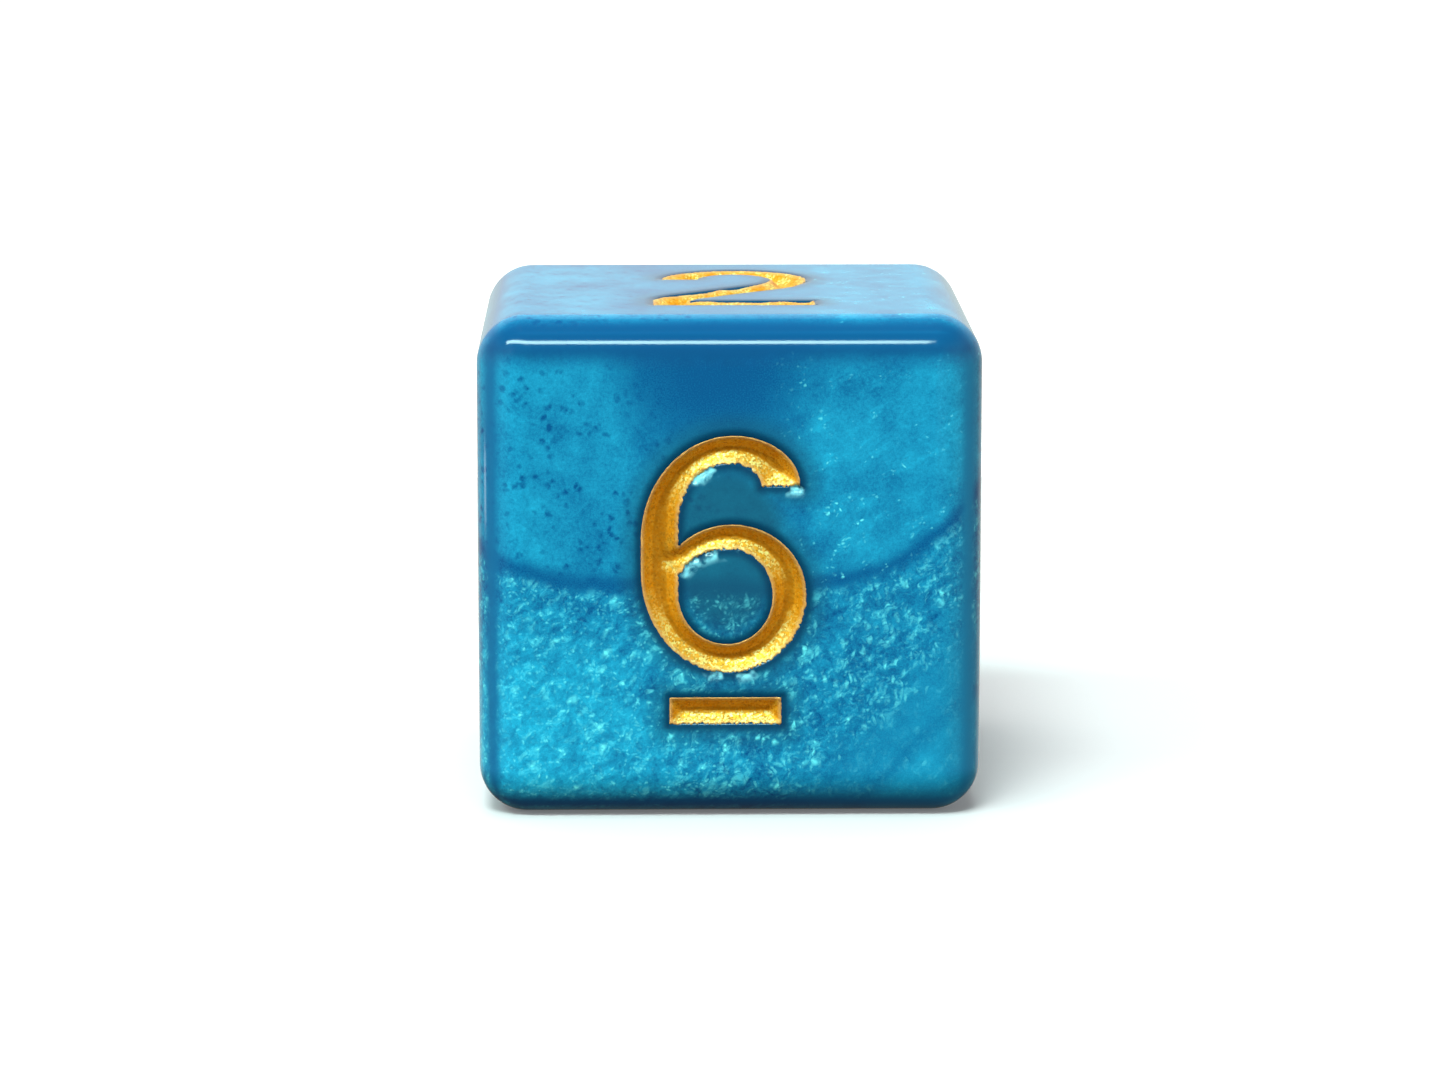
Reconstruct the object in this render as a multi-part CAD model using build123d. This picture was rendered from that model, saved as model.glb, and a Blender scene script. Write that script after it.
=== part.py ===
from build123d import *
import math
import os

# Rounded six-sided gaming die, cast in pearl resin, with engraved numerals that are inked in gold.
# Millimetres. Origin at the centre of the face it rests on, +Z up, numeral 6 facing -Y.
# Opposite faces add up to seven: 6 and 1 on -Y and +Y, 2 and 5 on +Z and -Z, 3 and 4 on +X and -X.

SIDE = 16.0            # flat to flat, all three ways
EDGE_RADIUS = 1.55     # tumbled edges, with ball corners
GROOVE_DEPTH = 0.45    # engraving below the face
WALL_INSET = 0.30      # how far each sloping groove wall comes in over that depth
PAINT_FILM = 0.12      # gold ink on the walls and floor of a groove, measured along the depth
PAINT_BELOW_FACE = 0.04   # the ink stops this far under the face, where handling wears it off

STEM = 1.20            # width of an upright stroke
BAR = 0.98             # width of a level stroke
TOP, FOOT = 4.90, -4.10           # numeral height above and below the face centre

# The six is smaller, to leave room for its underline. Its strokes swell and thin, so the outside and
# the inside of each have centres and half-widths of their own.
SIX_CROWN = 4.33
SIX_HOOK, SIX_HOOK_OUT, SIX_HOOK_IN_X, SIX_HOOK_IN = (0.10, 2.68), 2.12, -0.05, (1.03, 0.73)
SIX_BACK_Y, SIX_BACK_X, SIX_BACK_IN_Y = 1.00, -2.83, 1.50
SIX_HEEL, SIX_HEEL_IN_Y, SIX_HEEL_IN = (-0.10, 0.00), -0.75, (1.53, 1.58)
SIX_FOOT = -3.28
BOWL_Y, BOWL_X, BOWL_IN_X = -0.80, 0.05, 0.00
BOWL_OUT, BOWL_IN = (2.37, 2.30), (1.33, 1.48)
BOWL_TAIL_IN = 1.80               # inner half-width of the bowl where it runs back to the stem
STEM_SIDE, TAIL = -1.62, (-0.58, -0.38)

UNDERLINE_LENGTH, UNDERLINE_WIDTH = 3.57, 0.90
UNDERLINE_CENTRE = (-0.15, -4.50)

OPEN, HIPPED = 0, 1    # a stroke end runs straight on into its neighbour, or slopes up like a wall
RIGHT_UP, LEFT_UP, LEFT_DOWN, RIGHT_DOWN = (1, 1), (-1, 1), (-1, -1), (1, -1)


# Strokes. Each is a trench with sloping walls and a narrow floor, cut down from z = 0 of the face.

def trench(outline):
    """Solid from the outline at the face to the same outline drawn in by the wall slope."""
    floor = Pos(0, 0, -GROOVE_DEPTH) * outline(WALL_INSET)
    return Solid.make_loft([floor, outline(0)], ruled=True)


def straight(start, end, width, first=OPEN, last=OPEN):
    """Straight stroke along the line from start to end."""
    (x0, y0), (x1, y1) = start, end
    length = math.hypot(x1 - x0, y1 - y0)

    def outline(inset):
        low, high = first * inset, length - last * inset
        half = width / 2 - inset
        return Wire.make_polygon([(low, -half), (high, -half), (high, half), (low, half)])

    return Pos(x0, y0) * Rot(0, 0, math.degrees(math.atan2(y1 - y0, x1 - x0))) * trench(outline)


def closed(curves):
    """Wire along the curves in order, with straight lines across the gaps between them."""
    edges = []
    for curve, following in zip(curves, curves[1:] + curves[:1]):
        edges.append(curve.edge())
        if (curve @ 1 - following @ 0).length > 1e-6:
            edges.append(Line(curve @ 1, following @ 0).edge())
    return Wire(edges)


def oval(centre, radii, start, end):
    """Arc of an oval, in degrees; clockwise where end is the smaller."""
    return EllipticalCenterArc(centre, radii[0], radii[1], start, arc_size=end - start)


def less(radii, inset):
    return radii[0] - inset, radii[1] - inset


def rise(height, radii):
    """Angle at which an oval of these half-widths is this high above its centre."""
    return math.degrees(math.asin(height / radii[1]))


def reach(distance, radii):
    """Angle at which an oval of these half-widths is this far to the right of its centre."""
    return math.degrees(math.acos(distance / radii[0]))


def turn(centre, radius, start_angle, arc, width):
    """Round stroke of one width about a centre; radius is the middle of the stroke."""
    def outline(inset):
        half = width / 2 - inset
        outer = CenterArc(centre, radius + half, start_angle, arc)
        inner = CenterArc(centre, radius - half, start_angle + arc, -arc)
        return closed([outer, inner])

    return trench(outline)


def bend(centre, radii, quadrant, side=OPEN, level=0.0):
    """Quarter of an oval stroke, as wide as a stem at its side and as a bar at its crown.

    radii are the oval's outer half-widths. The side end is cut level, at this height off the centre.
    """
    def outline(inset):
        cut = level + side * inset
        outer = less(radii, inset)
        inner = radii[0] - STEM + inset, radii[1] - BAR + inset
        return closed([oval((0, 0), outer, rise(cut, outer), 90), oval((0, 0), inner, 90, rise(cut, inner))])

    quarter = trench(outline)
    if quadrant[0] < 0:
        quarter = mirror(quarter, about=Plane.YZ)
    if quadrant[1] < 0:
        quarter = mirror(quarter, about=Plane.XZ)
    return Pos(*centre) * quarter


# Numerals: x to the right, y up, centre of the face at (0, 0).

def one():
    stem_x, flag, flag_drop = 0.35, (1.80, 1.45), 0.60
    join_y = TOP - flag_drop
    return [
        straight((stem_x, FOOT), (stem_x, TOP), STEM, HIPPED, HIPPED),
        straight((stem_x - flag[0], join_y - flag[1]), (stem_x, join_y), BAR, HIPPED),
    ]


def two():
    hook, girth = (0.30, 2.55), 2.40
    crown = TOP - hook[1]
    side_x = hook[0] + girth - STEM / 2
    shoulder, knee, lean = 3.00, 1.20, 47        # radii of the long S-shaped stroke and its slant
    knee_x, base_end = -1.80, 2.80
    shoulder_x = side_x - shoulder
    run = math.radians(lean)
    start = (shoulder_x + shoulder * math.cos(run), hook[1] - shoulder * math.sin(run))
    end_x = knee_x + knee * (1 - math.cos(run))
    end = (end_x, start[1] - (start[0] - end_x) / math.tan(run))
    knee_y = end[1] - knee * math.sin(run)
    base_y = FOOT + BAR / 2
    return [
        bend(hook, (girth, crown), LEFT_UP, side=HIPPED),
        bend(hook, (girth, crown), RIGHT_UP),
        turn((shoulder_x, hook[1]), shoulder, -lean, lean, STEM),
        straight(start, end, STEM),
        turn((knee_x + knee, knee_y), knee, 180 - lean, lean, STEM),
        straight((knee_x, knee_y), (knee_x, base_y), STEM),
        straight((knee_x - STEM / 2, base_y), (base_end, base_y), BAR, HIPPED, HIPPED),
    ]


def three():
    waist, tongue = 0.45, -0.80                  # height and left end of the middle stroke
    upper_hook, upper_girth, lower_hook, lower_girth = 2.20, 2.25, 2.45, 2.55
    upper, lower = (TOP - waist + BAR / 2) / 2, (waist + BAR / 2 - FOOT) / 2
    high, low = (0, TOP - upper), (0, FOOT + lower)
    return [
        bend(high, (upper_hook, upper), LEFT_UP, side=HIPPED),
        bend(high, (upper_girth, upper), RIGHT_UP),
        bend(high, (upper_girth, upper), RIGHT_DOWN),
        straight((tongue, waist), (0, waist), BAR, HIPPED),
        bend(low, (lower_girth, lower), RIGHT_UP),
        bend(low, (lower_girth, lower), RIGHT_DOWN),
        bend(low, (lower_hook, lower), LEFT_DOWN, side=HIPPED),
    ]


def four():
    stem_x, cross_y, cross_left, cross_right = 0.95, -1.90, -2.95, 2.65
    slant_foot, slant_top = (-2.30, cross_y + 0.20), (stem_x, TOP - 0.70)
    return [
        straight((stem_x, FOOT), (stem_x, TOP), STEM, HIPPED, HIPPED),
        straight((cross_left, cross_y), (cross_right, cross_y), BAR, HIPPED, HIPPED),
        straight(slant_foot, slant_top, STEM),
    ]


def five():
    belly = (0, -1.35)
    girth = 2.55, belly[1] - FOOT
    flag_left, flag_right, flag_y = -2.03, 2.20, TOP - BAR / 2
    knee, stem_top_x = (-1.65, 0.30), -1.43
    return [
        straight((flag_left, flag_y), (flag_right, flag_y), BAR, HIPPED, HIPPED),
        straight((stem_top_x, flag_y), knee, STEM, last=HIPPED),
        bend(belly, girth, LEFT_UP, side=HIPPED, level=knee[1] - belly[1]),
        bend(belly, girth, RIGHT_UP),
        bend(belly, girth, RIGHT_DOWN),
        bend(belly, girth, LEFT_DOWN, side=HIPPED),
    ]


def six_back(inset):
    """Outline of the six's long stroke: hook, back and heel, as far as the foot of the bowl."""
    heel_x, heel_y = SIX_HEEL
    hook_out = less((SIX_HOOK_OUT, SIX_CROWN - SIX_HOOK[1]), inset)
    hook_in = less(SIX_HOOK_IN, -inset)
    back_out = less((SIX_HOOK[0] - SIX_BACK_X, SIX_CROWN - SIX_BACK_Y), inset)
    back_in = less((SIX_HOOK_IN_X - STEM_SIDE, SIX_HOOK[1] + SIX_HOOK_IN[1] - SIX_BACK_IN_Y), -inset)
    heel_out = less((heel_x - SIX_BACK_X, heel_y - SIX_FOOT), inset)
    heel_in = less(SIX_HEEL_IN, -inset)
    return closed([
        oval(SIX_HOOK, hook_out, rise(inset, hook_out), 90),
        oval((SIX_HOOK[0], SIX_BACK_Y), back_out, 90, 180),
        oval(SIX_HEEL, heel_out, 180, 270),
        oval((heel_x, SIX_HEEL_IN_Y), heel_in, 270, 180),
        oval((SIX_HOOK_IN_X, SIX_BACK_IN_Y), back_in, 180, 90),
        oval((SIX_HOOK_IN_X, SIX_HOOK[1]), hook_in, 90, rise(inset, hook_in)),
    ])


def six_bowl(inset):
    """Outline of the six's bowl, from its foot round to the right and back into the stem."""
    foot_x = SIX_HEEL[0]
    low_out = less((BOWL_X + BOWL_OUT[0] - foot_x, BOWL_Y - SIX_FOOT), inset)
    low_in = less((BOWL_IN_X + BOWL_IN[0] - foot_x, BOWL_Y - SIX_HEEL_IN_Y + SIX_HEEL_IN[1]), -inset)
    high_out, high_in = less(BOWL_OUT, inset), less(BOWL_IN, -inset)
    tail_in = less((BOWL_TAIL_IN, BOWL_IN[1]), -inset)
    top = oval((BOWL_X, BOWL_Y), high_out, 0, reach(STEM_SIDE - BOWL_X, high_out))
    under = oval((BOWL_IN_X, BOWL_Y), tail_in, reach(STEM_SIDE - BOWL_IN_X, tail_in), 90)
    return closed([
        oval((foot_x, BOWL_Y), low_out, 270, 360),
        top,
        Line(top @ 1, top @ 1 + Vector(*TAIL)),
        Line(under @ 0 + Vector(*TAIL), under @ 0),
        under,
        oval((BOWL_IN_X, BOWL_Y), high_in, 90, 0),
        oval((foot_x, BOWL_Y), low_in, 0, -90),
    ])


def six():
    return [trench(six_back), trench(six_bowl)]


def underline():
    x, y = UNDERLINE_CENTRE
    half = UNDERLINE_LENGTH / 2
    return [straight((x - half, y), (x + half, y), UNDERLINE_WIDTH, HIPPED, HIPPED)]


# The faces, by the way out of each and the reading direction of its numeral.

HALF = SIDE / 2
FACES = {
    "front": Plane((0, -HALF, HALF), x_dir=(1, 0, 0), z_dir=(0, -1, 0)),
    "back": Plane((0, HALF, HALF), x_dir=(-1, 0, 0), z_dir=(0, 1, 0)),
    "top": Plane((0, 0, SIDE), x_dir=(1, 0, 0), z_dir=(0, 0, 1)),
    "bottom": Plane((0, 0, 0), x_dir=(1, 0, 0), z_dir=(0, 0, -1)),
    "right": Plane((HALF, 0, HALF), x_dir=(0, 1, 0), z_dir=(1, 0, 0)),
    "left": Plane((-HALF, 0, HALF), x_dir=(0, -1, 0), z_dir=(-1, 0, 0)),
}
ENGRAVING = {
    "paint_one": ("back", one),
    "paint_two": ("top", two),
    "paint_three": ("right", three),
    "paint_four": ("left", four),
    "paint_five": ("bottom", five),
    "paint_six": ("front", six),
    "paint_six_underline": ("front", underline),
}


def groove(strokes):
    """All the strokes of one numeral as a single solid."""
    whole = strokes[0]
    for stroke in strokes[1:]:
        whole = whole + stroke
    return whole


def paint(cut):
    """Film of ink that lines a groove, worn away at its rim."""
    raised = Pos(0, 0, PAINT_FILM) * cut
    worn = Pos(0, 0, SIDE / 2 - PAINT_BELOW_FACE) * Box(SIDE, SIDE, SIDE)
    return cut - raised - worn


def blank():
    """The plain die before it is engraved."""
    cube = Pos(0, 0, HALF) * Box(SIDE, SIDE, SIDE)
    return fillet(cube.edges(), EDGE_RADIUS)


def save(shape, node):
    export_step(shape, f"parts/{node}.step")
    print(node, "solids", len(shape.solids()), "volume", round(shape.volume, 3))


os.makedirs("parts", exist_ok=True)
body = blank()
for node, (side, strokes) in ENGRAVING.items():
    cut = groove(strokes())
    face = FACES[side].location
    body = body - face * cut
    save(face * paint(cut), node)
save(body, "die_body")
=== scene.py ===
"""Dresses a pearl resin numeral die: engraved casting, gold ink in every groove, and a studio sweep."""

import math

import bpy
import numpy as np
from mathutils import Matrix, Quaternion, Vector, geometry, kdtree, noise


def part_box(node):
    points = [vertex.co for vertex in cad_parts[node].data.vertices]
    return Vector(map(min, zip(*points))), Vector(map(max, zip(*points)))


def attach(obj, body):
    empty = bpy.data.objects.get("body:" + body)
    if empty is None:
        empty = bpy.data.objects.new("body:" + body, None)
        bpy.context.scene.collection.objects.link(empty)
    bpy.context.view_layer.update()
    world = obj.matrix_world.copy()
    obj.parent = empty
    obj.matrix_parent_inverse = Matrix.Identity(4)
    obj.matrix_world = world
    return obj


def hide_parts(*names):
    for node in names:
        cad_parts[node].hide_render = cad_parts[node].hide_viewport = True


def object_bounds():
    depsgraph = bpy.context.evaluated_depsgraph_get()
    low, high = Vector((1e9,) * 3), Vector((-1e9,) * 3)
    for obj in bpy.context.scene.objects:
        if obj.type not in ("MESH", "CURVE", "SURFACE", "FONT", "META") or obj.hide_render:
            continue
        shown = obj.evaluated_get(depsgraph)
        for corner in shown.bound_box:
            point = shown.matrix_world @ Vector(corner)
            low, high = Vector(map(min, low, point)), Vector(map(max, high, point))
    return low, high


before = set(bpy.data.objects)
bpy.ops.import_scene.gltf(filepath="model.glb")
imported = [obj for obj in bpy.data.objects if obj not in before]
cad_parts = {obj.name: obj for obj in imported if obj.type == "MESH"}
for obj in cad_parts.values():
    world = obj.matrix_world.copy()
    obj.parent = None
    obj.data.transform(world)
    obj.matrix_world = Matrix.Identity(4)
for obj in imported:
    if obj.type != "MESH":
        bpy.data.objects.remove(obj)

bl_info = {
    "name": "Pearl Resin Die",
    "version": (1, 0, 0),
    "blender": (4, 5, 0),
    "location": "3D View > Sidebar > Die",
    "description": "Builds an engraved pearl resin die with inked numerals on a studio sweep",
    "category": "Add Mesh",
}

MM = 0.001
CAD_LOW, CAD_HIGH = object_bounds()
SIDE = (CAD_HIGH.x - CAD_LOW.x) / MM
CENTRE = (CAD_LOW + CAD_HIGH) / 2 / MM

# Each face by its reading direction, its upward direction and its way out of the die.
FACES = {
    "front": ((1, 0, 0), (0, 0, 1), (0, -1, 0)),
    "back": ((-1, 0, 0), (0, 0, 1), (0, 1, 0)),
    "top": ((1, 0, 0), (0, 1, 0), (0, 0, 1)),
    "bottom": ((1, 0, 0), (0, -1, 0), (0, 0, -1)),
    "right": ((0, 1, 0), (0, 0, 1), (1, 0, 0)),
    "left": ((0, -1, 0), (0, 0, 1), (-1, 0, 0)),
}

# Mesh sizes in millimetres, and a count.
PROBE = 0.11            # how far round a point the slope of a groove is felt
FLOOR_ROUNDING = 0.26   # how gently a groove wall turns into its floor
LIP_WIDTH = 0.2         # how far from a groove its worn lip reaches
RIM_SPACING = 0.055     # between outline points of the casting
FILM_SPACING = 0.035    # between outline points of the ink
FILM_GRID = 0.05        # between the ink's inner points, and the room left round its outline
FILM_ROOT = 0.05        # how far the underside of the ink is sunk into the resin
FLAT_STEPS = 40         # mesh steps along one side of a flat

# Chafed places on the front numeral, which also get a painted glint: across, up and radius in millimetres.
CHAFED_GLINTS = ((-0.9, 3.0, 0.42), (-0.85, 0.05, 0.75), (2.1, 2.45, 0.35), (0.5, -3.55, 0.42), (-0.5, -3.4, 0.28))
# The face that each deposit of ink lines.
INKED = {
    "paint_one": "back",
    "paint_two": "top",
    "paint_three": "right",
    "paint_four": "left",
    "paint_five": "bottom",
    "paint_six": "front",
    "paint_six_underline": "front",
}


# Settings

class DieBodySettings(bpy.types.PropertyGroup):
    """Sizes and colours of the resin casting."""

    fillet_steps: bpy.props.IntProperty(
        name="Fillet steps", description="Mesh steps across half of a rounded edge", default=9, min=3)
    rim_width: bpy.props.FloatProperty(
        name="Rim width", description="How far tumbling has softened the face around a groove",
        default=0.32 * MM, unit="LENGTH", subtype="DISTANCE")
    rim_drop: bpy.props.FloatProperty(
        name="Rim drop", description="How far the softened rim falls away at the groove",
        default=0.030 * MM, unit="LENGTH", subtype="DISTANCE")
    wear: bpy.props.FloatProperty(
        name="Wear", description="Extra drop of the rim in worn patches",
        default=0.13 * MM, unit="LENGTH", subtype="DISTANCE")
    groove_depth: bpy.props.FloatProperty(
        name="Groove depth", description="Depth of the engraving where a stroke is wide",
        default=0.44 * MM, unit="LENGTH", subtype="DISTANCE")
    wall_angle: bpy.props.FloatProperty(
        name="Wall angle", description="Slope of a groove wall below the face",
        default=math.radians(43), unit="ROTATION", subtype="ANGLE")
    deep: bpy.props.FloatVectorProperty(
        name="Deep blue", description="Resin with little pearl in it",
        default=(0.0005, 0.082, 0.235), subtype="COLOR", size=3)
    pearl: bpy.props.FloatVectorProperty(
        name="Pearl blue", description="Resin thick with pearl pigment",
        default=(0.018, 0.49, 0.74), subtype="COLOR", size=3)
    # Painted glint: the colour painted into the resin where its flakes would catch the light.
    glint: bpy.props.FloatVectorProperty(
        name="Glint", description="Pearl flakes that catch the light",
        default=(0.14, 0.82, 0.88), subtype="COLOR", size=3)


class InkSettings(bpy.types.PropertyGroup):
    """Sizes and colours of the gold ink."""

    film: bpy.props.FloatProperty(
        name="Film", description="Thickness of the dried ink on a groove wall",
        default=0.045 * MM, unit="LENGTH", subtype="DISTANCE")
    ragged: bpy.props.FloatProperty(
        name="Ragged edge", description="How far the low edges of the ink wander",
        default=0.085 * MM, unit="LENGTH", subtype="DISTANCE")
    starved: bpy.props.FloatProperty(
        name="Starved edge", description="Bare strip along the high edges of the numeral on top",
        default=0.05 * MM, unit="LENGTH", subtype="DISTANCE")
    gold: bpy.props.FloatVectorProperty(
        name="Gold", description="Body colour of the ink",
        default=(0.86, 0.32, 0.006), subtype="COLOR", size=3)
    # Painted glint: flakes take this colour most on walls that face up.
    bright: bpy.props.FloatVectorProperty(
        name="Bright gold", description="Metal flakes in the ink",
        default=(1.0, 0.92, 0.30), subtype="COLOR", size=3)
    rim: bpy.props.FloatVectorProperty(
        name="Rim tan", description="Thin ink where it wraps over the edge of a groove",
        default=(0.90, 0.52, 0.20), subtype="COLOR", size=3)


class StageSettings(bpy.types.PropertyGroup):
    """Camera, sweep and lights."""

    distance: bpy.props.FloatProperty(
        name="Camera distance", description="From the middle of the die to the camera",
        default=0.1711, unit="LENGTH", subtype="DISTANCE")
    elevation: bpy.props.FloatProperty(
        name="Camera elevation", description="Height of the camera above the horizon",
        default=math.radians(9.78), unit="ROTATION", subtype="ANGLE")
    azimuth: bpy.props.FloatProperty(
        name="Camera azimuth", description="Turn of the camera round the die",
        default=math.radians(-1.0), unit="ROTATION", subtype="ANGLE")
    lens: bpy.props.FloatProperty(
        name="Lens", description="Focal length in millimetres", default=128.9, min=10)
    sweep: bpy.props.FloatVectorProperty(
        name="Sweep", description="Colour of the paper sweep",
        default=(0.52, 0.52, 0.53), subtype="COLOR", size=3)
    glow: bpy.props.FloatProperty(
        name="Glow", description="Light coming through the paper under the die", default=0.12, min=0)
    distance_glow: bpy.props.FloatProperty(
        name="Far glow", description="Light coming through the paper beyond the die", default=0.6, min=0)
    backdrop: bpy.props.FloatProperty(
        name="Backdrop", description="Light coming through the paper behind the die", default=0.47, min=0)
    over: bpy.props.FloatProperty(
        name="Top light", description="Radiance of the soft light straight above", default=6.0, min=0)
    strip: bpy.props.FloatProperty(
        name="Strip light", description="Radiance of the strip light over the camera", default=28.0, min=0)
    key: bpy.props.FloatProperty(
        name="Key light", description="Radiance of the soft key light beside the strip", default=26.0, min=0)
    side: bpy.props.FloatProperty(
        name="Side light", description="Radiance of the soft light on the left", default=5.6, min=0)
    card: bpy.props.FloatProperty(
        name="Card", description="Radiance of the small card that shows in the left edge", default=3.0, min=0)
    fill: bpy.props.FloatProperty(
        name="Fill light", description="Radiance of the low fill light on the right", default=4.6, min=0)
    sky: bpy.props.FloatProperty(
        name="Room light", description="Even light from above and all round", default=0.50, min=0)


# Outlines. Lengths in the mesh code are in millimetres, in the plane of a face.

def plane_of(side):
    right, up, out = (np.array(v, float) for v in FACES[side])
    origin = np.array(CENTRE) + out * SIDE / 2
    return origin, right, up, out


def flat_loops(side):
    """Closed outlines on one face of the CAD body, as 2-D points; the flat's own border comes last."""
    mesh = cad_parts["die_body"].data
    points = np.empty(len(mesh.vertices) * 3)
    mesh.vertices.foreach_get("co", points)
    points = points.reshape(-1, 3) / MM
    origin, right, up, out = plane_of(side)
    keys, welded = np.unique(np.round(points * 1e4).astype(int), axis=0, return_inverse=True)
    points = keys / 1e4 - origin
    triangles = welded.ravel()[np.array([polygon.vertices[:] for polygon in mesh.polygons])]
    on_face = np.abs(points @ out) < 1e-3
    edges = {}
    for a, b, c in triangles[on_face[triangles].all(axis=1)]:
        edges.update({(a, b): True, (b, c): True, (c, a): True})
    following = {a: b for a, b in edges if (b, a) not in edges}
    loops = []
    while following:
        first, loop = next(iter(following)), []
        corner = first
        while not loop or corner != first:
            loop.append(corner)
            corner = following.pop(corner)
        loops.append(np.stack([points[loop] @ right, points[loop] @ up], axis=1))
    return sorted(loops, key=lambda loop: np.ptp(loop, axis=0).max())


def smooth_loop(loop, spacing, corner=math.radians(35), straight=2.5):
    """The loop through the same points as tangent curves, keeping its corners and straight runs."""
    chord = np.roll(loop, -1, axis=0) - loop
    length = np.linalg.norm(chord, axis=1)
    slope = chord / length[:, None]
    before, length_before = np.roll(slope, 1, axis=0), np.roll(length, 1)
    turn = np.arccos(np.clip((before * slope).sum(axis=1), -1, 1))
    blend = (before * length[:, None] + slope * length_before[:, None])
    blend /= np.linalg.norm(blend, axis=1)[:, None]
    leaving, arriving = blend.copy(), blend.copy()
    for k in range(len(loop)):
        if turn[k] > corner:
            leaving[k], arriving[k] = slope[k], before[k]
        elif length[k] > straight * length_before[k]:
            leaving[k] = arriving[k] = slope[k]
        elif length_before[k] > straight * length[k]:
            leaving[k] = arriving[k] = before[k]
    points = []
    for k in range(len(loop)):
        following = (k + 1) % len(loop)
        steps = max(1, round(length[k] / spacing))
        t = np.arange(steps)[:, None] / steps
        points.append(
            (2 * t**3 - 3 * t**2 + 1) * loop[k] + (t**3 - 2 * t**2 + t) * leaving[k] * length[k]
            + (3 * t**2 - 2 * t**3) * loop[following] + (t**3 - t**2) * arriving[following] * length[k])
    return np.concatenate(points)


def signed_distance(points, loops):
    """Distance of each 2-D point from evenly spaced outlines, negative inside a groove."""
    here = np.concatenate(loops)
    before = np.concatenate([np.roll(loop, 1, axis=0) for loop in loops])
    after = np.concatenate([np.roll(loop, -1, axis=0) for loop in loops])
    tree = kdtree.KDTree(len(here))
    for k, (x, y) in enumerate(here):
        tree.insert((x, y, 0), k)
    tree.balance()
    nearest = np.array([tree.find((x, y, 0))[1] for x, y in points])
    found = []
    for start, end in ((before, here), (here, after)):
        chord, away = (end - start)[nearest], points - start[nearest]
        along = np.clip((away * chord).sum(axis=1) / (chord**2).sum(axis=1), 0, 1)
        gap = np.linalg.norm(away - along[:, None] * chord, axis=1)
        side = (chord[:, 0] * away[:, 1] - chord[:, 1] * away[:, 0]) / np.linalg.norm(chord, axis=1)
        found.append((gap, side))
    (gap, side), (other_gap, other_side) = found
    other = np.where(np.isclose(gap, other_gap), np.abs(other_side) > np.abs(side), other_gap < gap)
    return np.where(other, other_gap, gap) * np.sign(np.where(other, other_side, side))


def hexagonal(low, high, spacing):
    """Points of a hexagonal grid over a rectangle."""
    row = spacing * math.sqrt(3) / 2
    rows = np.arange(low[1], high[1], row)
    columns = np.arange(low[0], high[0], spacing)
    x = columns[None, :] + (np.arange(len(rows)) % 2)[:, None] * spacing / 2
    return np.stack([x.ravel(), np.repeat(rows, len(columns))], axis=1)


def triangulated(points, loops):
    """Delaunay triangles over free points and closed loops, whose edges are kept."""
    vertices, edges = list(map(Vector, points)), []
    for loop in loops:
        base, count = len(vertices), len(loop)
        vertices += map(Vector, loop)
        edges += [(base + k, base + (k + 1) % count) for k in range(count)]
    made = geometry.delaunay_2d_cdt(vertices, edges, [], 0, 1e-6)
    return np.array([tuple(v) for v in made[0]]), np.array(made[2])


def flecks(points, size, seed):
    """Smooth noise of -1 to 1 at each 3-D point, with features of this size."""
    shift = Vector((seed * 17.3, seed * 5.1, seed * 9.7))
    return np.array([noise.noise(Vector(p) / size + shift) for p in points])


def tagged(points, side):
    """2-D points with the number of their face behind them, so that no two faces share their flecks."""
    return np.column_stack([points, np.full(len(points), 7.0 * list(FACES).index(side))])


def mesh_object(name, vertices, triangles, attributes):
    """Smooth-shaded mesh object in the row frame, with one float attribute per name."""
    mesh = bpy.data.meshes.new(name)
    mesh.from_pydata((vertices * MM).tolist(), [], triangles.tolist())
    for attribute, values in attributes.items():
        layer = mesh.attributes.new(attribute, "FLOAT", "POINT")
        layer.data.foreach_set("value", np.asarray(values, np.float32))
    mesh.shade_smooth()
    made = bpy.data.objects.new(name, mesh)
    bpy.context.scene.collection.objects.link(made)
    return made


# Shape of the engraving

def engraved(points, loops, side, settings):
    """Distance, height over the plain face, wear, and how far up the page it leans, at points of a face."""
    width, drop = settings.rim_width / MM, settings.rim_drop / MM
    depth, slope = settings.groove_depth / MM, math.tan(settings.wall_angle)
    distance = signed_distance(points, loops)
    left, right, down, up = (signed_distance(points + shift, loops)
                             for shift in ((-PROBE, 0), (PROBE, 0), (0, -PROBE), (0, PROBE)))
    lean = np.clip((down - up) / (2 * PROBE), -1, 1)
    blurred = (left + right + down + up) / 4
    close = np.abs(distance) < 0.5
    at = tagged(points[close], side)
    worn = np.zeros(len(points))
    if side == "front":
        patch = np.zeros(len(at))
        for across, height, radius in CHAFED_GLINTS:
            patch = np.maximum(patch, np.exp(-((at[:, 0] - across)**2 + (at[:, 1] - height)**2) / radius**2))
        patch = 1.6 * patch - 0.4
    else:
        patch = 2.8 * flecks(at, 0.8, 7) - 0.2
    worn[close] = np.clip(patch + 0.8 * flecks(at, 0.2, 8), 0, 1) * np.clip(lean[close] * 2, 0, 1)
    lip = settings.wear / MM * worn * (1 - np.clip(distance, 0, LIP_WIDTH) / LIP_WIDTH)**1.3
    rim = -drop * (1 - np.clip(distance, 0, width) / width)**2 - lip
    wall = np.clip(-blurred, 0, None) * slope
    share = np.clip(0.5 + 0.5 * (depth - wall) / FLOOR_ROUNDING, 0, 1)
    groove = -drop - np.clip(depth * (1 - share) + wall * share - FLOOR_ROUNDING * share * (1 - share), 0, None)
    return distance, np.where(distance > 0, rim, np.minimum(groove, rim)), worn, lean


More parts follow.
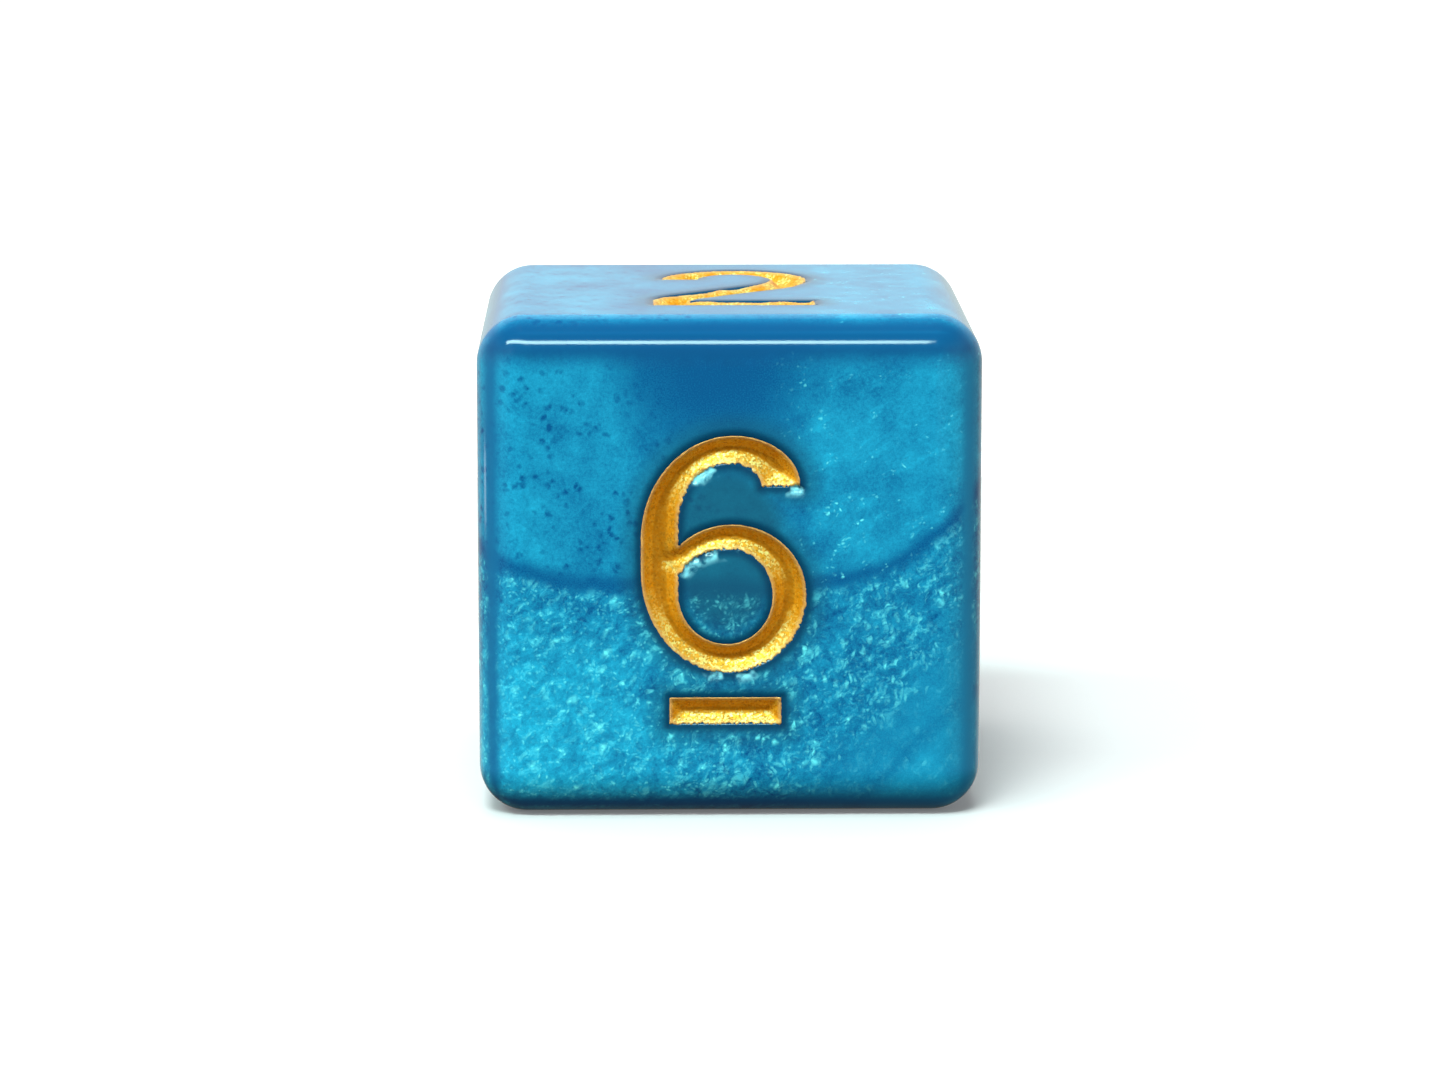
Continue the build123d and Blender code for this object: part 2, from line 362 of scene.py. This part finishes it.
def face_patch(side, settings):
    """One face of the die with its share of the rounded edges and corners."""
    origin, right, up, out = plane_of(side)
    steps, count = settings.fillet_steps, FLAT_STEPS
    loops = flat_loops(side)
    flat = np.abs(loops[-1]).max()
    radius = SIDE / 2 - flat
    grooves = [smooth_loop(loop, RIM_SPACING) for loop in loops[:-1]]

    along = np.linspace(-flat, flat, count + 1)
    border = np.concatenate([
        np.stack([along[:-1], np.full(count, -flat)], 1), np.stack([np.full(count, flat), along[:-1]], 1),
        np.stack([along[:0:-1], np.full(count, flat)], 1), np.stack([np.full(count, -flat), along[:0:-1]], 1)])
    margin = 0.04
    points = [border * (1 - margin / flat)]
    inner = flat - 4 * margin
    # Grid spacing between two distances from a groove: fine on its walls and rim, coarse on the plain face.
    for spacing, nearest, farthest in ((0.052, -0.12, 0.36), (0.11, -9, -0.12), (0.12, 0.36, 0.8),
                                       (0.25, 0.8, 1.6), (0.5, 1.6, 99)):
        reach = min(farthest, inner)
        corners = np.concatenate(grooves)
        low = np.maximum(corners.min(axis=0) - reach, -inner) if farthest < 99 else (-inner, -inner)
        high = np.minimum(corners.max(axis=0) + reach, inner) if farthest < 99 else (inner, inner)
        grid = hexagonal(low, high, spacing)
        distance = signed_distance(grid, grooves)
        points.append(grid[(distance > nearest) & (distance <= farthest) & (np.abs(distance) > 0.02)])
    flat_points, triangles = triangulated(np.concatenate(points), [border] + grooves)
    distance, height, worn, _ = engraved(flat_points, grooves, side, settings)
    on_edge = np.abs(flat_points).max(axis=1) > flat - 1e-4
    local = [np.column_stack([flat_points, np.where(on_edge, 0, height)])]
    faces, rim, wear = [triangles], [np.clip(distance, -1, 1)], [worn]

    lean = np.tan(np.linspace(0, math.pi / 4, steps + 1))

    def band(x_at, x_lean, y_at, y_lean):
        """Grid of points of the rounded box, leaning off the flat in x and y."""
        x0, y0 = np.meshgrid(x_at, y_at)
        dx, dy = np.meshgrid(x_lean, y_lean)
        ball = radius / np.sqrt(dx**2 + dy**2 + 1)
        grid = np.stack([x0 + dx * ball, y0 + dy * ball, ball - radius], axis=2)
        rows, columns = grid.shape[:2]
        base = sum(len(part) for part in local)
        index = base + np.arange(rows * columns).reshape(rows, columns)
        a, b, c, d = index[:-1, :-1], index[:-1, 1:], index[1:, 1:], index[1:, :-1]
        local.append(grid.reshape(-1, 3))
        faces.append(np.concatenate([np.stack([a, b, c], 2).reshape(-1, 3), np.stack([a, c, d], 2).reshape(-1, 3)]))
        rim.append(np.ones(rows * columns))
        wear.append(np.zeros(rows * columns))

    still, edge = np.zeros(count + 1), np.full(steps + 1, flat)
    for sign in (-1, 1):
        tilt, reach = (sign * lean)[::sign], (sign * edge)[::sign]
        band(reach, tilt, along, still)
        band(along, still, reach, tilt)
        for other in (-1, 1):
            band(reach, tilt, (other * edge)[::other], (other * lean)[::other])
    local = np.concatenate(local)
    placed = origin + local[:, :1] * right + local[:, 1:2] * up + local[:, 2:] * out
    return placed, np.concatenate(faces), np.concatenate(rim), np.concatenate(wear)


def build_body(settings):
    """The whole casting as one closed, welded mesh."""
    patches, base = [], 0
    for side in FACES:
        points, faces, rim, worn = face_patch(side, settings)
        patches.append((points, faces + base, rim, worn))
        base += len(points)
    vertices, triangles, rims, worn = (np.concatenate(parts) for parts in zip(*patches))
    _, first, welded = np.unique(
        np.round(vertices * 1e4).astype(int), axis=0, return_index=True, return_inverse=True)
    triangles = welded.ravel()[triangles]
    whole = ((triangles[:, 0] != triangles[:, 1]) & (triangles[:, 1] != triangles[:, 2])
             & (triangles[:, 2] != triangles[:, 0]))
    return mesh_object(
        "die_casting", vertices[first], triangles[whole], {"rim": rims[first], "worn": worn[first]})


def ink_film(node, side, body, ink):
    """Closed film of ink lining one groove, with ragged low edges."""
    origin, right, up, out = plane_of(side)
    low, high = (np.array(corner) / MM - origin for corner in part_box(node))
    corners = np.array([[p @ right, p @ up] for p in (low, high)])
    low, high = corners.min(axis=0) - FILM_GRID, corners.max(axis=0) + FILM_GRID
    loops = [smooth_loop(loop, FILM_SPACING) for loop in flat_loops(side)[:-1]
             if (loop.mean(axis=0) > low).all() and (loop.mean(axis=0) < high).all()]
    ragged = []
    for loop in loops:
        tangent = np.roll(loop, -1, axis=0) - np.roll(loop, 1, axis=0)
        tangent /= np.linalg.norm(tangent, axis=1)[:, None]
        away = np.stack([-tangent[:, 1], tangent[:, 0]], axis=1)
        lowness = np.clip(-away[:, 1] * 0.9 + away[:, 0] * 0.35, 0, 1)
        at = tagged(loop, side)
        wander = 0.45 + 0.8 * flecks(at, 0.16, 3) + 0.8 * flecks(at, 0.06, 4)
        inset = 0.004 + (0.12 + 0.88 * lowness) * ink.ragged / MM * np.clip(wander, 0, 1.2)
        if side == "top":
            starved = np.clip(away[:, 1] * 1.5, 0, 1) * np.clip((1.2 - loop[:, 1]) / 0.8, 0, 1)
            inset += ink.starved / MM * starved * np.clip(0.9 + flecks(at, 0.7, 5), 0, 1.3)
        moved = loop - away * inset[:, None]
        ragged.append(moved[signed_distance(moved, loops) < -0.75 * inset])
    grid = hexagonal(low, high, FILM_GRID)
    distance = signed_distance(grid, ragged)
    points, triangles = triangulated(grid[distance < -0.02], ragged)
    middle = points[triangles].mean(axis=1)
    triangles = triangles[signed_distance(middle, ragged) < 0]
    _, resin, _, lean = engraved(points, loops, side, body)
    inside = np.clip(-signed_distance(points, ragged), 0, None)
    at = tagged(points, side)
    film = ink.film / MM * (0.8 + 0.35 * flecks(at, 0.35, 1)) + 0.016 * flecks(at, 0.075, 2)
    taper = np.clip(inside / 0.07, 0, 1)
    top = np.minimum(resin + np.clip(film, 0.012, None) * (0.25 + 0.75 * taper * (2 - taper)), -0.006)
    under = resin - FILM_ROOT
    count = len(points)
    directed = {}
    for a, b, c in triangles:
        directed.update({(a, b): True, (b, c): True, (c, a): True})
    rim = [(a, b) for a, b in directed if (b, a) not in directed]
    walls = [(a, a + count, b) for a, b in rim] + [(b, a + count, b + count) for a, b in rim]
    local = np.concatenate([np.column_stack([points, top]), np.column_stack([points, under])])
    placed = origin + local[:, :1] * right + local[:, 1:2] * up + local[:, 2:] * out
    faces = np.concatenate([triangles, triangles[:, ::-1] + count, np.array(walls)])
    used, packed = np.unique(faces, return_inverse=True)
    return mesh_object(
        node.replace("paint", "ink"), placed[used], packed.reshape(-1, 3),
        {"inside": np.concatenate([inside, inside])[used], "lean": np.concatenate([lean, lean])[used]})


# Shader arithmetic

class Term:
    """A shader socket that Python arithmetic can be written with."""

    def __init__(self, socket):
        self.socket = socket

    @classmethod
    def new(cls, tree, kind, settings=None, inputs=None, output=0):
        """Adds a node of any type: its settings first, then the values or links of its sockets."""
        made = tree.nodes.new(kind)
        for name, value in (settings or {}).items():
            setattr(made, name, value)
        for key, value in (inputs or {}).items():
            if isinstance(value, Term):
                tree.links.new(value.socket, made.inputs[key])
            else:
                made.inputs[key].default_value = value
        return cls(made.outputs[output])

    def math(self, operation, *values, clamp=False):
        return Term.new(self.socket.id_data, "ShaderNodeMath", {"operation": operation, "use_clamp": clamp},
                        dict(enumerate(values)))

    def __add__(self, other):
        return self.math("ADD", self, other)

    def __sub__(self, other):
        return self.math("SUBTRACT", self, other)

    def __mul__(self, other):
        return self.math("MULTIPLY", self, other)

    def __truediv__(self, other):
        return self.math("DIVIDE", self, other)

    def __pow__(self, other):
        return self.math("POWER", self, other)

    def __radd__(self, other):
        return self.math("ADD", other, self)

    def __rsub__(self, other):
        return self.math("SUBTRACT", other, self)

    def __rmul__(self, other):
        return self.math("MULTIPLY", other, self)

    def __rtruediv__(self, other):
        return self.math("DIVIDE", other, self)

    def __neg__(self):
        return self.math("MULTIPLY", self, -1.0)

    def above(self, low, high):
        """0 below low, 1 above high and smooth between; the other way round where low is the larger."""
        start, end = (low, high) if low < high else (high, low)
        ends = {3: 0.0, 4: 1.0} if low < high else {3: 1.0, 4: 0.0}
        return Term.new(self.socket.id_data, "ShaderNodeMapRange", {"interpolation_type": "SMOOTHSTEP"},
                        {0: self, 1: start, 2: end, **ends})

    def near(self, value, width):
        """1 at the value, falling to 0 at this distance either side."""
        return self.math("ABSOLUTE", self - value).above(width, 0.0)

    def at_least(self, other):
        return self.math("MAXIMUM", self, other)

    def at_most(self, other):
        return self.math("MINIMUM", self, other)

    def turned(self, angles, stretch):
        """This vector seen along turned axes, so that patterns come out this much longer along them."""
        return Term.new(self.socket.id_data, "ShaderNodeMapping", {"vector_type": "TEXTURE"},
                        {"Vector": self, "Rotation": angles, "Scale": stretch})

    def mixed(self, first, second):
        """Colour between the first, at 0, and the second, at 1."""
        return Term.new(self.socket.id_data, "ShaderNodeMix", {"data_type": "RGBA", "clamp_factor": True},
                        {0: self, 6: first, 7: second}, output=2)

    def scaled(self, factor, shift):
        """This vector times a factor, moved by a vector."""
        return Term.new(self.socket.id_data, "ShaderNodeVectorMath", {"operation": "MULTIPLY_ADD"},
                        {0: self, 1: (factor,) * 3, 2: shift if isinstance(shift, Term) else tuple(shift)})

    def drift(self, scale, detail=2.0):
        """Vector noise of 0 to 1, to bend other patterns with."""
        return Term.new(self.socket.id_data, "ShaderNodeTexNoise", {},
                        {"Vector": self, "Scale": scale, "Detail": detail}, output=1)

    def parts(self):
        """The three parts of a vector."""
        split = Term.new(self.socket.id_data, "ShaderNodeSeparateXYZ", {}, {0: self})
        return [Term(socket) for socket in split.socket.node.outputs]

    def noise(self, scale, detail=3.0, roughness=0.5, **settings):
        """Noise of 0 to 1 at a vector, with this many features in a millimetre."""
        return Term.new(self.socket.id_data, "ShaderNodeTexNoise", settings,
                        {"Vector": self, "Scale": scale, "Detail": detail, "Roughness": roughness})

    def cells(self, scale, output, randomness=1.0, **settings):
        """Voronoi cells at a vector: the distance to a cell's middle, or its own colour."""
        return Term.new(self.socket.id_data, "ShaderNodeTexVoronoi", settings,
                        {"Vector": self, "Scale": scale, "Randomness": randomness}, output=output)


def with_alpha(color):
    return (*color, 1.0)


def material(name, roughness, fill):
    """New material: fill(tree) returns the sockets of its Principled shader by name."""
    made = bpy.data.materials.new(name)
    made.use_nodes = True
    tree = made.node_tree
    tree.nodes.clear()
    shader = tree.nodes.new("ShaderNodeBsdfPrincipled")
    shader.inputs["Roughness"].default_value = roughness
    for key, value in fill(tree).items():
        if isinstance(value, Term):
            tree.links.new(value.socket, shader.inputs[key])
        else:
            shader.inputs[key].default_value = value
    output = tree.nodes.new("ShaderNodeOutputMaterial")
    tree.links.new(shader.outputs[0], output.inputs["Surface"])
    return made


def millimetres(tree):
    """Position in millimetres from the middle of the die."""
    place = Term.new(tree, "ShaderNodeTexCoord", output=3)
    return place.scaled(1 / MM, -CENTRE)


def mesh_value(tree, name):
    """Float attribute of the mesh."""
    return Term.new(tree, "ShaderNodeAttribute", {"attribute_name": name}, output=2)


def pearl_resin(settings):
    """Blue resin with folded pearl pigment, dark flow lines and flakes that glint."""
    deep, pearl, glint = (with_alpha(color) for color in (settings.deep, settings.pearl, settings.glint))
    # Painted shade colours for the top front edge and for the foot of the die.
    brow_shade_blue, foot_shade_blue = (0.0004, 0.055, 0.155, 1.0), (0.0004, 0.070, 0.17, 1.0)
    # Painted shade colours for the bowl of the numeral and round the grooves.
    bowl_shade_blue, groove_shade_blue = (0.006, 0.075, 0.135, 1.0), (0.0, 0.035, 0.085, 1.0)
    # Painted glint colour for chafed rims.
    worn_rim_glint_blue = (0.24, 0.74, 0.84, 1.0)

    def fill(tree):
        place = millimetres(tree)
        x, y, z = place.parts()
        swirl = place.drift(0.25).scaled(2.2, place)
        rough = place.drift(2.2).scaled(0.42, place)
        cloud = swirl.noise(0.45, 4.0, 0.55) - 0.5
        soft = place.noise(1.8, 3.0, 0.6) - 0.5
        grain = place.noise(9.0, 3.0, 0.7) - 0.5
        tooth = place.noise(21.0, 1.0) - 0.5

        # Flow line: smooth resin above it, crumpled pearl below.
        right, left = x.at_least(0.0), (-x).at_least(0.0)
        crest = right**3 * 0.0058 + left**3 * 0.0018 + (y + 8) * 0.12 - 0.45
        height = z - crest + (place.noise(0.5, 2.0) - 0.5) * 0.7
        below = height.above(0.15, -0.35)
        line = height.near(-0.05, 0.55)

        # Upper half: clouds, a dark lens at the top, pits on the left and fine streaks on the right.
        bent = place.drift(0.35).scaled(1.6, place).parts()
        lens = (((bent[0] - 0.3) / 3.4)**2 + ((bent[2] - 8.0) / 4.2)**2).above(1.5, 0.0)
        lens = lens * (1 - z.above(7.5, 7.95) * 0.6)
        pits = rough.cells(2.7, 0).above(0.44, 0.12) * swirl.noise(1.1).above(0.28, 0.62) * x.above(1.0, -1.5)
        stroke = place.turned((0.0, -0.55, 0.0), (2.0, 1.0, 0.7))
        streaks = stroke.noise(1.3, 4.0, 0.65).above(0.50, 0.66) * x.above(0.8, 3.5)
        upper = 0.37 + cloud * 0.85 + soft * 0.45 + grain * 0.60 + streaks * 0.16 - pits * 0.31
        upper = upper * (1 - lens)

        # Lower half: facets of folded pearl, brightest low on the left, calm at the low right corner.
        calm = x - z - (y + 8) * 0.4
        corner = calm.above(11.4, 12.6)
        edge_on = calm.near(11.5, 0.7)
        quiet = calm.above(8.2, 10.6)
        folds = rough.turned((0.2, -0.7, 0.1), (1.5, 1.0, 0.8)).noise(2.2, 5.0, 0.70) - 0.5
        facets = rough.cells(4.4, 1).parts()[0] - 0.5
        lower = 0.27 + x.above(1.5, -6.0) * z.above(0.0, -4.8) * 0.36 + cloud * 0.30
        crumpled = folds * (1.45 - x.above(-1.0, 4.0) * 0.65) + soft * 0.5 + facets * 0.14 + grain * 0.7
        lower = lower + crumpled * (1 - quiet * 0.7)
        lower = lower + quiet * 0.07 + corner * 0.08 - edge_on * 0.12
        tone = (upper * (1 - below) + lower * below) * (1 - line * 0.85) + tooth * 0.30

        # Painted glints: flakes, dots and fold crests that would catch the light, painted bright into the base
        # colour.
        leaning = rough.turned((0.3, -0.8, 0.0), (1.6, 1.0, 0.7))
        flake_glint = leaning.cells(3.4, 1).parts()[0].above(0.62, 0.98) * leaning.cells(3.4, 0).above(0.62, 0.12)
        chance, _, value = rough.cells(8.0, 1).parts()
        glint_dots = value.above(0.45, 1.0) * rough.cells(8.0, 0).above(0.60, 0.10)
        lively = folds.above(-0.16, 0.16)
        upright = rough.turned((0.2, 0.15, 0.0), (0.7, 1.0, 1.5))
        dash = upright.cells(4.4, 1).parts()[1].above(0.60, 0.98) * upright.cells(4.4, 0).above(0.62, 0.15)
        to_right = x.above(-2.0, 1.5)
        flake_glint = flake_glint * (1 - to_right) + dash * to_right
        painted_glint = (flake_glint * 0.9 + glint_dots * (0.9 - to_right * 0.4) + folds.above(0.02, 0.20) * 0.35) * lively
        sparse = glint_dots * streaks * chance.above(0.35, 0.60) * 1.1
        painted_glint = painted_glint * below * (1 - quiet * 0.8) * (1 - line) + sparse * (1 - below)

        # Painted shade: plain deep blue on the rounded edges, a dark band along the top front edge with a lighter
        # line painted inside it, and a dark foot along the bottom.
        across, deep_in, tall = (part.math("ABSOLUTE", part) for part in (x, y, z))
        middle = (across + deep_in + tall - across.at_least(deep_in).at_least(tall)
                  - across.at_most(deep_in).at_most(tall))
        # Painted shade: mask of the rounded edges, which are painted deep blue.
        edge = (middle + soft * 0.2).above(7.15, 7.50)
        brow_shade = (-y).above(6.5, 7.45) * (z + soft * 0.3).above(6.3, 7.05)
        foot_shade = (-z).above(7.58, 7.84)
        # Painted light and shade in the edge tone: lighter towards the right, darker towards the bottom.
        plain = 0.10 + x.above(0.0, 8.0) * 0.16 - z.above(-7.1, -7.7) * 0.14

        # Painted shade inside the bowl of the numeral and round every groove; a painted glint where the rim is
        # chafed.
        rim = mesh_value(tree, "rim")
        # Painted shade round every groove.
        groove_shade = rim.above(0.34, 0.04)
        bowl_shade = (((x + 0.1) / 2.0)**2 + ((z - 0.7) / 2.9)**2).above(1.35, 0.45) * y.above(-7.0, -7.6)
        worn = mesh_value(tree, "worn")
        # Painted glint on chafed rims.
        worn_rim_glint = worn.above(0.1, 0.8) * rim.above(0.40, 0.14) * (folds + soft * 0.8).above(-0.22, 0.16)
        painted_glint = painted_glint * (1 - groove_shade) * (1 - edge) * (1 - brow_shade) * (1 - foot_shade) * (1 - bowl_shade * 0.3)

        # Painted shade of the rounded edges mixed into the resin tone.
        color = (tone * (1 - edge * 0.9) + plain * edge * 0.9).mixed(deep, pearl)
        # Painted shade along the top front edge, with a lighter line painted at its middle.
        color = (brow_shade * (0.94 - middle.above(7.45, 7.68) * 0.30)).mixed(color, brow_shade_blue)
        # Painted shade along the foot, where the die meets the paper.
        color = (foot_shade * 0.60).mixed(color, foot_shade_blue)
        color = (rim.above(1.0, 0.2) * 0.5).at_least(bowl_shade * 0.80).mixed(color, bowl_shade_blue)
        color = painted_glint.mixed(color, glint)
        color = (groove_shade * 0.9).mixed(color, groove_shade_blue)
        color = (worn_rim_glint * 0.75).mixed(color, worn_rim_glint_blue)
        bump = Term.new(tree, "ShaderNodeBump", {}, {"Strength": 0.3, "Distance": 0.05 * MM, "Height": folds * below})
        return {"Base Color": color, "Normal": bump, "Coat Weight": 1.0, "Coat Roughness": 0.10,
                "Coat IOR": 1.4, "Specular IOR Level": 0.0}

    return material("pearl_resin", 0.35, fill)


def gold_ink(settings):
    """Grainy metallic ink: orange body, bright flakes and a tan rim where it is thin, with painted light on walls
    that face up and painted shade on walls that face down and in the crease.
    """
    gold, bright, tan = (with_alpha(color) for color in (settings.gold, settings.bright, settings.rim))
    # Painted shade: shadow darkens walls that face down and the umber the crease; painted light: amber lightens walls
    # that face up.
    speck, shadow, crease_shade_umber = (0.46, 0.15, 0.005, 1.0), (0.42, 0.13, 0.004, 1.0), (0.34, 0.10, 0.003, 1.0)
    lit_amber, low_flake = (0.96, 0.53, 0.05, 1.0), (1.0, 0.56, 0.055, 1.0)
    bronze, olive = (0.56, 0.24, 0.01, 1.0), (0.30, 0.24, 0.04, 1.0)

    def fill(tree):
        place = millimetres(tree)
        value, tint, hue = place.cells(16.0, 1).parts()
        fine = place.cells(30.0, 1).parts()[0]
        patch = place.noise(1.4, 3.0, 0.6)
        lean = mesh_value(tree, "lean")
        inside = mesh_value(tree, "inside")
        level = place.parts()[2].above(6.9, 7.3)
        # Painted light and shade: walls that face up, and the numeral on the top face in patches, are painted lighter
        # with brighter flakes; walls that face down are painted darker.
        facing_up = lean + (patch - 0.5) * 0.8
        painted_lit = facing_up.above(0.10, 0.75).at_least(level * patch.above(0.40, 0.55))
        shaded = facing_up.above(-0.15, -0.85) * (1 - level)
        color = (tint.above(0.45, 0.0) * 0.5).mixed(gold, speck)
        color = (shaded * 0.10).mixed(color, shadow)
        color = (painted_lit * 0.70).mixed(color, lit_amber)
        # Painted glint: flakes are painted brighter on walls that face up.
        flake_glint = painted_lit.mixed(low_flake, bright)
        color = (value.above(0.38, 0.80) * (0.35 + painted_lit * 0.65)).mixed(color, flake_glint)
        color = (hue.above(0.42, 0.10) * painted_lit * 0.75).mixed(color, bronze)
        color = (patch.above(0.60, 0.74) * (1 - painted_lit) * 0.3).mixed(color, olive)
        # Painted shade in the crease down the middle of a groove.
        crease_shade = inside.above(0.31, 0.42) * (1 - painted_lit) * (1 - level)
        color = (crease_shade * 0.45).mixed(color, crease_shade_umber)
        color = (inside.above(0.15, 0.02) * 0.6).mixed(color, tan)
        tilt = Term.new(tree, "ShaderNodeBump", {}, {"Strength": 1.0, "Distance": 0.05 * MM,
                                                     "Height": value + fine * 0.5})
        return {"Base Color": color, "Metallic": 0.35, "Normal": tilt, "Specular IOR Level": 0.12}

    return material("gold_ink", 0.34, fill)


# Stage, in metres

def sweep_paper(name, settings, glow):
    """Matt white paper with the faintest tooth, lit a little from behind."""
    color = settings.sweep

    def fill(tree):
        place = Term.new(tree, "ShaderNodeTexCoord", output=3)
        tooth = place.noise(900.0, 2.0)
        shade = tooth.mixed(with_alpha(color), with_alpha([part * 0.985 for part in color]))
        return {"Base Color": shade, "Specular IOR Level": 0.0,
                "Emission Color": (1.0, 1.0, 1.0, 1.0), "Emission Strength": glow}

    return material(name, 0.9, fill)


def strip_of_paper(name, profile, paper):
    """Wide sheet of paper bent along a profile of depths and heights."""
    vertices = [(x, y, z) for y, z in profile for x in (-2.5, 2.5)]
    faces = [(2 * k, 2 * k + 1, 2 * k + 3, 2 * k + 2) for k in range(len(profile) - 1)]
    mesh = bpy.data.meshes.new(name)
    mesh.from_pydata(vertices, [], faces)
    mesh.shade_smooth()
    mesh.materials.append(paper)
    sheet = bpy.data.objects.new(name, mesh)
    bpy.context.scene.collection.objects.link(sheet)
    return sheet


def sweep(settings):
    """Paper under the die, beyond it and up the wall, each part with its own glow."""
    front, split, bend, radius, top = -1.5, 0.06, 1.2, 0.6, 2.0
    near = strip_of_paper("sweep_near", [(front, 0.0), (split, 0.0)], sweep_paper("paper", settings, settings.glow))
    near.visible_glossy = near.visible_diffuse = False
    floor = strip_of_paper("sweep_floor", [(split, 0.0), (bend, 0.0)],
                           sweep_paper("lit_paper", settings, settings.distance_glow))
    floor.visible_glossy = False
    rise = [(bend + radius * math.sin(a), radius - radius * math.cos(a)) for a in np.linspace(0, math.pi / 2, 25)]
    strip_of_paper("sweep_wall", [*rise, (bend + radius, top)],
                   sweep_paper("bright_paper", settings, settings.backdrop))


def softbox(name, place, size, radiance, color=(1.0, 1.0, 1.0), roll=0.0, diffuse=True, glossy=True):
    """Rectangular light of this radiance aimed at the middle of the die and rolled about its axis."""
    light = bpy.data.lights.new(name, "AREA")
    light.color = color
    light.shape = "RECTANGLE"
    light.size, light.size_y = size
    light.energy = radiance * math.pi * size[0] * size[1]
    made = bpy.data.objects.new(name, light)
    made.location = place
    aim = (CENTRE * MM - Vector(place)).to_track_quat("-Z", "Y")
    made.rotation_euler = (aim @ Quaternion((0.0, 0.0, 1.0), roll)).to_euler()
    made.visible_diffuse, made.visible_glossy = diffuse, glossy
    bpy.context.scene.collection.objects.link(made)


def lights(scene, settings):
    """Strip light over the camera, soft lights on both sides and above, and a room dark at its front and top."""
    reach, height, turn = 0.45, math.radians(56), math.radians(32)
    level = reach * math.cos(height)
    over_camera = (-level * math.sin(turn), -level * math.cos(turn), CENTRE.z * MM + reach * math.sin(height))
    softbox("strip", over_camera, (0.38, 0.062), settings.strip, (0.62, 1.0, 0.93), math.radians(12))
    softbox("card", (-0.048, 0.010, 0.0035), (0.006, 0.003), settings.card, diffuse=False)
    softbox("key", (-0.07, -0.24, 0.38), (0.12, 0.12), settings.key, glossy=False)
    softbox("side", (-0.44, -0.42, 0.42), (0.26, 0.26), settings.side, glossy=False)
    softbox("over", (-0.03, 0.06, 0.50), (0.30, 0.30), settings.over, glossy=False)
    softbox("fill", (0.22, -0.55, 0.06), (0.30, 0.30), settings.fill, glossy=False)
    world = bpy.data.worlds.new("studio")
    world.use_nodes = True
    tree = world.node_tree
    _, away, upward = Term.new(tree, "ShaderNodeTexCoord").parts()
    tone = (upward.above(-0.6, 0.15) * 0.54 + 0.14) * (1 - upward.above(0.45, 0.85) * 0.6)
    tone = tone.at_least(away.above(0.3, 0.9) * upward.above(-0.42, -0.22) * upward.above(0.5, 0.2))
    tone = (tone * (1 - away.above(-0.5, -0.95) * 0.6)).mixed((0.0, 0.0, 0.0, 1.0), (1.42, 1.5, 1.38, 1.0))
    background = tree.nodes["Background"]
    tree.links.new(tone.socket, background.inputs["Color"])
    background.inputs["Strength"].default_value = settings.sky
    scene.world = world


def camera(scene, settings):
    """Camera that looks slightly down at the front of the die."""
    data = bpy.data.cameras.new("camera")
    data.lens, data.sensor_width = settings.lens, 36.0
    data.shift_x, data.shift_y = -0.0024, -0.0093
    data.clip_start, data.clip_end = 0.01, 20.0
    made = bpy.data.objects.new("camera", data)
    turn, rise = settings.azimuth, settings.elevation
    back = Vector((math.sin(turn) * math.cos(rise), -math.cos(turn) * math.cos(rise), math.sin(rise)))
    made.location = CENTRE * MM + back * settings.distance
    made.rotation_euler = (-back).to_track_quat("-Z", "Y").to_euler()
    scene.collection.objects.link(made)
    scene.camera = made
    scene.view_settings.view_transform = "Standard"


# Operators

class DIE_OT_cast_body(bpy.types.Operator):
    """Casts the resin die with its engraved faces and rounded edges"""

    bl_idname = "die.cast_body"
    bl_label = "Cast the die"

    def execute(self, context):
        settings = context.scene.die_body
        casting = build_body(settings)
        casting.data.materials.append(pearl_resin(settings))
        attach(casting, "root")
        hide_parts("die_body")
        return {"FINISHED"}


class DIE_OT_ink_numerals(bpy.types.Operator):
    """Lines every groove with its own film of gold ink"""

    bl_idname = "die.ink_numerals"
    bl_label = "Ink the numerals"

    def execute(self, context):
        ink = context.scene.die_ink
        finish = gold_ink(ink)
        for node, side in INKED.items():
            film = ink_film(node, side, context.scene.die_body, ink)
            film.data.materials.append(finish)
            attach(film, "root")
            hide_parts(node)
        return {"FINISHED"}


class DIE_OT_set_stage(bpy.types.Operator):
    """Lays the paper sweep and sets the camera and the soft lights"""

    bl_idname = "die.set_stage"
    bl_label = "Set the stage"

    def execute(self, context):
        scene, settings = context.scene, context.scene.die_stage
        sweep(settings)
        lights(scene, settings)
        camera(scene, settings)
        return {"FINISHED"}


class DIE_PT_panel(bpy.types.Panel):
    """The die's operators and settings"""

    bl_label = "Pearl Resin Die"
    bl_idname = "DIE_PT_panel"
    bl_space_type = "VIEW_3D"
    bl_region_type = "UI"
    bl_category = "Die"

    def draw(self, context):
        for operator, group in STEPS:
            box = self.layout.box()
            box.operator(operator)
            settings = getattr(context.scene, group)
            for name in settings.bl_rna.properties.keys():
                if name not in ("rna_type", "name"):
                    box.prop(settings, name)


STEPS = (("die.cast_body", "die_body"), ("die.ink_numerals", "die_ink"), ("die.set_stage", "die_stage"))
SETTINGS = {"die_body": DieBodySettings, "die_ink": InkSettings, "die_stage": StageSettings}
CLASSES = (*SETTINGS.values(), DIE_OT_cast_body, DIE_OT_ink_numerals, DIE_OT_set_stage, DIE_PT_panel)


def register():
    for cls in CLASSES:
        bpy.utils.register_class(cls)
    for name, cls in SETTINGS.items():
        setattr(bpy.types.Scene, name, bpy.props.PointerProperty(type=cls))


def unregister():
    for name in SETTINGS:
        delattr(bpy.types.Scene, name)
    for cls in reversed(CLASSES):
        bpy.utils.unregister_class(cls)


def main():
    register()
    bpy.ops.die.cast_body()
    bpy.ops.die.ink_numerals()
    bpy.ops.die.set_stage()


if __name__ == "__main__":
    main()
